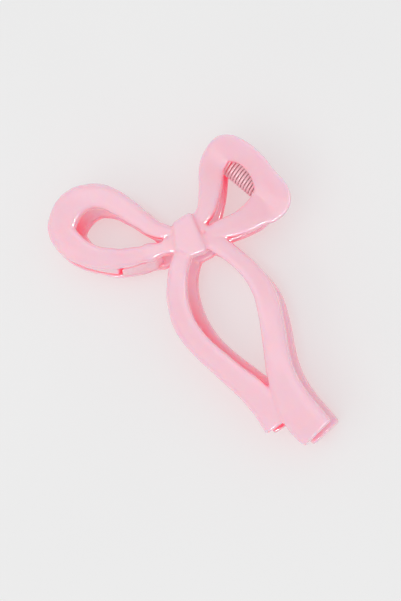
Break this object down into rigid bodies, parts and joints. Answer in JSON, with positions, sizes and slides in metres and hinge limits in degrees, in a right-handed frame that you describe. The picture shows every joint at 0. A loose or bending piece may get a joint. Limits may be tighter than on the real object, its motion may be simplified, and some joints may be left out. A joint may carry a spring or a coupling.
{
  "type": "alligator hair clip",
  "caption": "Bow-shaped spring hair clip: two hinged bow mouldings with loops, tails and a knot, interlocking teeth and a coil spring between squeeze handles.",
  "frame": {"origin": "centre of the flat outer face of the back bow's knot, on which the clip lies", "axes": "+Z out of the front bow, square to the closed clip's mid-plane; Y along the hinge axis, +Y towards the tails; +X from the hinge past the knot to the biting edge"},
  "size_m": [0.0789, 0.1344, 0.0292],
  "materials": {
    "front_bow": "gloss",
    "back_bow": "gloss",
    "spring_wire": "satin",
    "pin_steel": "satin"
  },
  "bodies": {
    "back_half": {"back_knot": "back_bow", "back_right_loop": "back_bow", "back_left_loop": "back_bow", "back_right_tail": "back_bow", "back_left_tail": "back_bow", "back_hinge_ears": "back_bow", "back_loop_tooth": "back_bow", "back_tail_teeth": "back_bow", "hinge_pin": "pin_steel", "torsion_spring": "spring_wire"},
    "front_half": {"front_knot": "front_bow", "front_right_loop": "front_bow", "front_left_loop": "front_bow", "front_right_tail": "front_bow", "front_left_tail": "front_bow", "front_hinge_ears": "front_bow", "front_loop_tooth": "front_bow", "front_tail_teeth": "front_bow"}
  },
  "joints": [
    {"name": "jaw_hinge", "type": "hinge", "parent": "back_half", "child": "front_half", "pos_m": [-0.02999, -0.00073, 0.0146], "axis": [0, -1, 0], "range_deg": [0, 40], "stiffness_Nm_per_rad": 0.03, "springref_deg": -91.67, "deforming": ["torsion_spring"]}
  ]
}
